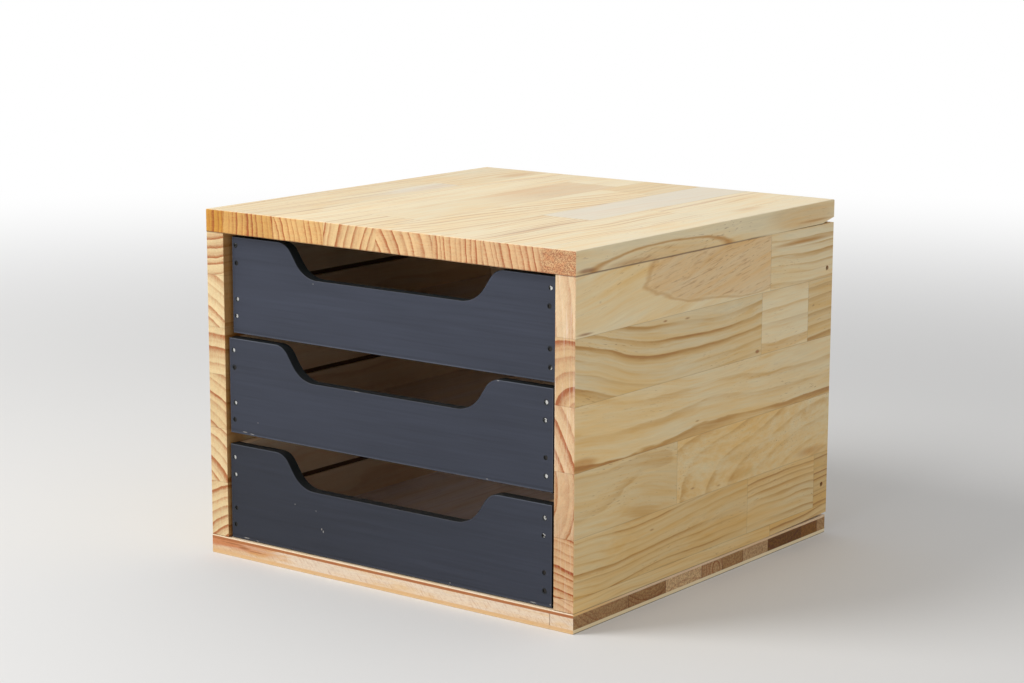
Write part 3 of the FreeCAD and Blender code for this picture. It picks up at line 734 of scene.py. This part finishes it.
class TRAY_OT_boards(bpy.types.Operator):
    """Finish the sides, the top board and the back panel as laminated pine"""
    bl_idname = "tray.boards"
    bl_label = "Pine boards"

    def execute(self, context):
        wood = context.scene.tray_wood
        group = sawn_pine(wood)
        for name, rows, patches, axes, shaded_joints_up, marks in (
                ("right_side", RIGHT_SIDE, RIGHT_SIDE_PATCHES, "yzx", SHADED_JOINTS_UP, right_side_marks),
                ("left_side", LEFT_SIDE, (), "yzx", SHADED_JOINTS_UP, left_side_marks),
                ("top_board", TOP_BOARD, TOP_BOARD_PATCHES, "yxz", SHADED_JOINTS_UP, top_board_marks),
                ("back_panel", BACK_PANEL, (), "xzy", (), plain)):
            finish = Finish("laminated_pine_" + name)
            colour, rough, height = laid_up(finish, group, axes, rows, patches, wood, shaded_joints_up=shaded_joints_up)
            colour = marks(finish, colour, wood)
            finish.set(Base_Color=colour, Roughness=rough, Specular_IOR_Level=0.4)
            finish.bump(height)
            finish.give(name)
        return {"FINISHED"}


def blockboard_core(finish, core, side, wood):
    """The core of sawn strips between the veneers: specked, with slanting saw marks along the front, rust coloured
    towards the front's left end, and with a few dark dashes there. side is 1 on the left and right edges."""
    tree = finish.tree
    x, y, z = finish.place
    front = 1 - side
    core = stain(tree, 1.0, core, wood.core)
    core = stain(tree, side, core, CORE_END_TINT)
    speck = cloud(tree, x * 300, y * 1100, z * 1100, 2.0, 0.6).soft(0.45, 0.7)
    core = tint(tree, speck * (0.2 + side * 0.5), core, wood.cross_veneer)
    crumb = cloud(tree, x * 40, y * 460, z * 520, 3.0, 0.7).soft(0.42, 0.6)
    core = stain(tree, crumb * side * 0.45, core, CORE_CRUMB)
    hatch = cloud(tree, (x + z) * 620, y * 50, (x - z) * 80, 2.0, 0.6).soft(0.5, 0.75)
    core = tint(tree, hatch * front * 0.4, core, wood.cross_veneer)
    glow = cloud(tree, x * 26, y * 20, z * 170, 3.0, 0.6)
    rust = (x * -14 - 1.7 + glow * 1.4).soft(0.3, 1.2) * front
    upper = (z + (glow - 0.5) * (8 * MM)).soft(5 * MM, 8 * MM)
    core = stain(tree, rust * (1 - upper * 0.4) * 0.4, core, wood.amber)
    core = tint(tree, rust * upper * 0.8, core, RUST)
    core = tint(tree, glow.soft(0.5, 0.7) * front * 0.4, core, wood.gold)
    dashes = nearest(tree, finish.spot, [(x0 * MM, 0.0, z0 * MM, half_x * MM, half_z * MM)
                                         for x0, z0, half_x, half_z in CORE_DASHES])
    return tint(tree, (dashes + (glow - 0.5) * 2.5).soft(0.6, 1.4, 0.85, 0.0), core, wood.resin)


class TRAY_OT_bottom_board(bpy.types.Operator):
    """Finish the bottom board as blockboard: veneers over a core of sawn strips"""
    bl_idname = "tray.bottom_board"
    bl_label = "Blockboard bottom"

    def execute(self, context):
        wood = context.scene.tray_wood
        finish = Finish("blockboard")
        tree = finish.tree
        x, y, z = finish.place
        side = finish.faces("x")
        core, rough, height = laid_up(finish, bpy.data.node_groups[PINE], "xyz", CORE_STRIPS, seam=0.8)
        core = blockboard_core(finish, core, side, wood)

        lower = z.below(BOARD_MIDDLE)
        fibre = cloud(tree, x * 320, y * 26, z * 900, 3.0, 0.6)
        streak = cloud(tree, x * 60, y * 4, z * 40, 2.0)
        veneer = tint(tree, streak.soft(0.35, 0.7) * (0.25 + side * 0.75), wood.face_veneer, wood.warm)
        veneer = tint(tree, fibre.soft(0.5, 0.75) * 0.3, veneer, wood.ring)
        veneer = tint(tree, lower * (1 - side) * 0.6, veneer, wood.gold)
        veneer = tint(tree, lower * side * 0.8, veneer, LOWER_VENEER)
        across = tint(tree, cloud(tree, x * 90, y * 90, z * 1500, 2.0).soft(0.3, 0.7) * 0.5, wood.cross_veneer,
                      wood.ring)
        veneer = stain(tree, side * (1 - lower), veneer, UPPER_VENEER_TINT)
        across = tint(tree, lower * 0.75, across, veneer)
        across = tint(tree, side, across, veneer)

        out = (z - BOARD_MIDDLE).size() - side * (1 - lower) * (1.3 * MM)
        colour = tint(tree, out.soft(4.1 * MM, 4.7 * MM), core, across)
        colour = tint(tree, out.soft(6.3 * MM, 6.8 * MM), colour, veneer)
        # Painted shadow: the lowest 0.8 mm of the board's edges darkened, for the contact shadow under the board
        contact_shadow = z.fade(0.2 * MM, 0.8 * MM) * (1 - finish.facing[2].size())
        colour = tint(tree, contact_shadow * (0.35 + side * 0.45), colour, ARRIS_PAINTED_SHADOW)
        finish.set(Base_Color=colour, Roughness=rough + 0.1, Specular_IOR_Level=0.3)
        finish.bump(height + fibre * (0.05 * MM))
        finish.give("bottom_board")
        return {"FINISHED"}


class TRAY_OT_fronts(bpy.types.Operator):
    """Paint the three drawer fronts charcoal, brushed along, with wear and painted highlights on the edges, and
    painted light and shade
    """
    bl_idname = "tray.fronts"
    bl_label = "Painted fronts"

    def execute(self, context):
        paint = context.scene.tray_paint
        for number, drawer in enumerate(DRAWERS):
            name = drawer + "_drawer_front"
            low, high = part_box(name)
            finish = Finish("charcoal_paint_" + drawer)
            tree = finish.tree
            x, y, z = finish.place
            shift = number * 7.3
            brush = cloud(tree, x * 11 + shift, y * 30, z * 560, 3.0, 0.6) - 0.5
            swirl = cloud(tree, x * 16 + shift, y * 30, z * 190, 2.0, 0.5) - 0.5
            broad = cloud(tree, x * 5 + shift, y * 5, z * 26, 2.0) - 0.5
            face = finish.faces("y", 0.55, 0.85)

            # The edges lighter, partly from wear and partly as a painted highlight where they catch the light, also
            # along the foot; and a darker band 2.6 mm above the foot, painted shade of a furrow that the brush left
            edge = (x - low.x).least(high.x - x).least((z - low.z).least(high.z - z))
            wear_and_highlight = (edge + brush * (0.8 * MM)).fade(0.3 * MM, 1.1 * MM)
            foot = (z - low.z + brush * (0.6 * MM)).fade(0.4 * MM, 1.6 * MM)
            groove_shade = (z - low.z - 2.6 * MM + swirl * (1.0 * MM)).size().fade(0.0, 1.1 * MM)
            # Painted shade: the sawn edges and the cut-out's edge drawn darker than the face
            colour = tint(tree, 1 - face, paint.colour, paint.sawn)
            colour = tint(tree, wear_and_highlight.most(foot) * face * 0.45, colour, paint.edge)
            # Painted light and shade: each front drawn lighter or darker, and the bottom one lighter to the right
            tone, lean = PAINTED_LIGHT_ON_FRONTS[drawer]
            light = (1.0 + brush * 0.5 + swirl * 0.3 + broad * 0.3) * (1 - groove_shade * face * 0.22)
            colour = dim(tree, colour, light * (tone + x * lean))

            # Chips in the paint, and painted shade in and round the holes that the nails were punched into
            flecks = nearest(tree, finish.spot, [(u * MM, 0.0, w * MM, half_u * MM, half_w * MM)
                                                 for u, w, half_u, half_w in FLECKS[drawer]])
            colour = tint(tree, (flecks + brush * 2.0).soft(0.6, 1.1, 0.55, 0.0) * face, colour, paint.fleck)
            round_nail = nearest(tree, finish.spot, [(*head, NAIL_RADIUS, NAIL_RADIUS)
                                                     for head in nail_heads(name + "_nails")])
            hole = (round_nail + swirl * 1.2 + brush * 0.6).fade(1.15, 1.5)
            colour = tint(tree, hole * 0.85, colour, paint.sawn)
            finish.set(Base_Color=colour, Roughness=0.5 + brush * 0.3 + broad * 0.1, Specular_IOR_Level=0.25)
            finish.bump((brush * 0.6 + swirl * 1.4) * paint.brush - hole * (0.1 * MM))
            finish.give(name)
        return {"FINISHED"}


class TRAY_OT_drawer_boxes(bpy.types.Operator):
    """Finish the drawers' slats, backs and bottoms, and the strips they run on, with painted shade on the strips and
    painted light on the bottom drawer's board
    """
    bl_idname = "tray.drawer_boxes"
    bl_label = "Drawer boxes"

    def execute(self, context):
        wood = context.scene.tray_wood
        group = bpy.data.node_groups[PINE]
        slats = [f"{d}_drawer_{s}" for d in DRAWERS for s in SLATS]
        backs = [d + "_drawer_back" for d in DRAWERS]
        for label, axes, names in (("slat_pine_sides", "yzx", slats), ("slat_pine_backs", "xzy", backs)):
            finish = Finish(label)
            colour, rough, height = laid_up(finish, group, axes, SLAT_STOCK, seam=0.0)
            colour = tint(finish.tree, 0.55, colour, wood.slat)
            finish.set(Base_Color=colour, Roughness=rough + 0.08, Specular_IOR_Level=0.3)
            finish.bump(height)
            finish.give(*names)

        finish = Finish("plywood")
        tree = finish.tree
        x, y, z = finish.place
        figure = cloud(tree, x * 40, y * 3, z * 3, 3.0, 0.55)
        fibre = cloud(tree, x * 600, y * 24, z * 600, 2.0)
        # Painted light: the bottom drawer's board drawn paler and greyer than the others, for the light that reaches
        # into it
        colour = tint(tree, z.below(UNDER_MIDDLE), wood.sheet, SHEET_PAINTED_LIGHT)
        colour = tint(tree, figure.soft(0.35, 0.7) * 0.25, colour, wood.warm)
        colour = tint(tree, fibre.soft(0.45, 0.8) * 0.25, colour, wood.cross_veneer)
        layer = ((z * 420).maths("FRACT") - 0.5).size().soft(0.2, 0.3)
        colour = tint(tree, (1 - finish.facing[2].size()) * layer * 0.6, colour, wood.cross_veneer)
        finish.set(Base_Color=colour, Roughness=0.55 + figure * 0.15, Specular_IOR_Level=0.3)
        finish.bump(fibre * (0.04 * MM))
        finish.give(*[d + "_drawer_bottom" for d in DRAWERS])

        strips = [f"runner_{s}_{d}" for s in ("left", "right") for d in DRAWERS]
        # The runner strips get the beech darkened all over, as painted shade of the slots they run in
        for label, dark, names in (("beech", 0.0, ["top_dowels"]), ("rubbed_beech", 1.0, strips)):
            finish = Finish(label)
            tree = finish.tree
            x, y, z = finish.place
            fleck = cloud(tree, x * 900, y * 120, z * 900, 1.0).soft(0.6, 0.72)
            tone = cloud(tree, x * 60, y * 6, z * 60, 2.0)
            colour = tint(tree, tone, BEECH_PALE, BEECH_DEEP)
            colour = tint(tree, fleck * 0.5, colour, BEECH_FLECK)
            colour = stain(tree, dark, colour, RUNNER_PAINTED_SHADE)
            finish.set(Base_Color=colour, Roughness=0.5 + fleck * 0.1, Specular_IOR_Level=0.35)
            finish.bump(fleck * (-0.03 * MM))
            finish.give(*names)
        return {"FINISHED"}


class TRAY_OT_fastenings(bpy.types.Operator):
    """Finish the nails, pins and screws as metal, each nail as bright or dull as it is"""
    bl_idname = "tray.fastenings"
    bl_label = "Nails and screws"

    def execute(self, context):
        metal = context.scene.tray_metal
        hidden = [f"{d}_drawer_{k}" for d in DRAWERS for k in ("back_nails", "bottom_pins")]
        jobs = [("nail_steel_" + d, metal.nail, [d + "_drawer_front_nails"], DIRT[d]) for d in DRAWERS]
        jobs += [("nail_steel", metal.nail, ["back_panel_nails", *hidden], None),
                 ("screw_steel", metal.screw, ["bottom_screws"], None)]
        for label, base, names, shares in jobs:
            finish = Finish(label)
            tree = finish.tree
            x, y, z = finish.place
            scratch = cloud(tree, x * 1400, y * 1400, z * 2600, 2.0)
            if shares:
                each = (dirt_on(tree, finish.spot, nail_heads(names[0]), shares) - 0.5) * 0.7
            else:
                each = (cloud(tree, x * 60, y * 20, z * 140, 1.0) - 0.5) * 1.3
            dull = (cloud(tree, x * 520, y * 90, z * 560, 2.0) + each).soft(0.44, 0.56)
            colour = tint(tree, dull, base, metal.dull)
            finish.set(Base_Color=colour, Metallic=1.0, Roughness=0.25 + scratch * 0.2 + dull * 0.2)
            finish.bump(scratch * (0.08 * MM))
            finish.give(*names)
        return {"FINISHED"}


def disc(radius, rings=24, turns=96):
    """A flat disc as a grid of two parameters, the share of the radius u and the turn v:
    (radius * u^2 * cos v, radius * u^2 * sin v, 0)."""
    u, v = np.meshgrid(np.linspace(0, 1, rings + 1)[1:] ** 2, np.arange(turns) * 2 * np.pi / turns, indexing="ij")
    rim = np.stack([radius * u * np.cos(v), radius * u * np.sin(v), 0 * u], axis=-1).reshape(-1, 3)
    corners = np.concatenate([np.zeros((1, 3)), rim])
    i, j = np.meshgrid(np.arange(rings - 1), np.arange(turns), indexing="ij")
    a, b = 1 + i * turns + j, 1 + i * turns + (j + 1) % turns
    quads = np.stack([a, a + turns, b + turns, b], axis=-1).reshape(-1, 4)
    j = np.arange(turns)
    fan = np.stack([0 * j, 1 + j, 1 + (j + 1) % turns], axis=-1)
    return corners, quads.tolist() + fan.tolist()


def seen(tree):
    """1 for what the camera sees, straight, in metal or through glass, and 0 for what lights the object."""
    node = put(tree, "LightPath").socket.node
    rays = [Wire(tree, node.outputs[n]) for n in ("Is Camera Ray", "Is Glossy Ray", "Is Transmission Ray")]
    return rays[0].most(rays[1]).most(rays[2])


def lay_floor(scene, stage):
    """The pale floor, which fades into the white behind it."""
    corners, faces = disc(stage.reach)
    mesh = bpy.data.meshes.new("floor")
    mesh.from_pydata(corners.tolist(), [], faces)
    floor = bpy.data.objects.new("floor", mesh)
    scene.collection.objects.link(floor)
    finish = Finish("pale_floor")
    tree = finish.tree
    x, y, _ = finish.place
    away = (x * x + y * y).maths("SQRT").soft(0.7, 2.4)
    grain = cloud(tree, x * 40, y * 40, 0.0, 3.0)
    finish.set(Base_Color=stage.floor, Roughness=0.75 + grain * 0.1, Specular_IOR_Level=0.1)
    glow = put(tree, "Emission", WHITE, 1.0)
    mixed = put(tree, "MixShader", away * seen(tree), Wire(tree, finish.shader.outputs[0]), glow)
    tree.links.new(mixed.socket, tree.nodes["Material Output"].inputs[0])
    mesh.materials.append(finish.material)


def light_up(scene, stage):
    """A white world that lights the object softly, and two round lamps."""
    world = bpy.data.worlds.new("studio")
    scene.world = world
    world.use_nodes = True
    tree = world.node_tree
    strength = seen(tree) * (1 - stage.fill) + stage.fill
    tree.nodes["Background"].inputs[0].default_value = WHITE
    tree.links.new(strength.socket, tree.nodes["Background"].inputs[1])
    for name, power, size, place in (("key", stage.key, 1.3, (-1.2, -1.4, 1.75)),
                                     ("low", stage.low, 1.0, (0.2, -2.45, 0.45))):
        lamp = bpy.data.lights.new(name, "AREA")
        lamp.shape = "DISK"
        lamp.size = size
        lamp.energy = power
        lamp.color = stage.lamp
        light = bpy.data.objects.new(name, lamp)
        light.location = place
        aim = Vector(LIT_POINT) - light.location
        light.rotation_euler = aim.to_track_quat("-Z", "Y").to_euler()
        scene.collection.objects.link(light)


def set_camera(scene, stage):
    """The camera, where the photo was taken from."""
    lens = bpy.data.cameras.new("camera")
    lens.lens = stage.lens
    lens.sensor_width = 36.0
    lens.clip_start = 0.05
    camera = bpy.data.objects.new("camera", lens)
    camera.location = CAMERA_PLACE
    camera.rotation_euler = Euler([math.radians(a) for a in CAMERA_TURN])
    scene.collection.objects.link(camera)
    bpy.context.scene.camera = camera


class TRAY_OT_stage(bpy.types.Operator):
    """Set the floor, the light and the camera"""
    bl_idname = "tray.stage"
    bl_label = "Stage"

    def execute(self, context):
        stage = context.scene.tray_stage
        lay_floor(context.scene, stage)
        light_up(context.scene, stage)
        set_camera(context.scene, stage)
        context.scene.view_settings.view_transform = "Standard"
        return {"FINISHED"}


OPERATORS = (TRAY_OT_boards, TRAY_OT_bottom_board, TRAY_OT_fronts, TRAY_OT_drawer_boxes, TRAY_OT_fastenings,
             TRAY_OT_stage)
GROUPS = {"tray_wood": TrayWood, "tray_paint": TrayPaint, "tray_metal": TrayMetal, "tray_stage": TrayStage}


class TRAY_PT_panel(bpy.types.Panel):
    """The paper tray's finishes and stage"""
    bl_idname = "TRAY_PT_panel"
    bl_label = "Paper tray"
    bl_space_type = "VIEW_3D"
    bl_region_type = "UI"
    bl_category = "Paper tray"

    def draw(self, context):
        for name, group in GROUPS.items():
            values = getattr(context.scene, name)
            box = self.layout.box()
            for prop in group.__annotations__:
                box.prop(values, prop)
        for operator in OPERATORS:
            self.layout.operator(operator.bl_idname)


def register():
    for cls in (*GROUPS.values(), *OPERATORS, TRAY_PT_panel):
        bpy.utils.register_class(cls)
    for name, group in GROUPS.items():
        setattr(bpy.types.Scene, name, bpy.props.PointerProperty(type=group))


def unregister():
    for name in GROUPS:
        delattr(bpy.types.Scene, name)
    for cls in reversed((*GROUPS.values(), *OPERATORS, TRAY_PT_panel)):
        bpy.utils.unregister_class(cls)


def main():
    """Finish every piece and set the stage."""
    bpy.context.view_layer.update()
    register()
    for operator in OPERATORS:
        family, name = operator.bl_idname.split(".")
        getattr(getattr(bpy.ops, family), name)()


if __name__ == "__main__":
    main()
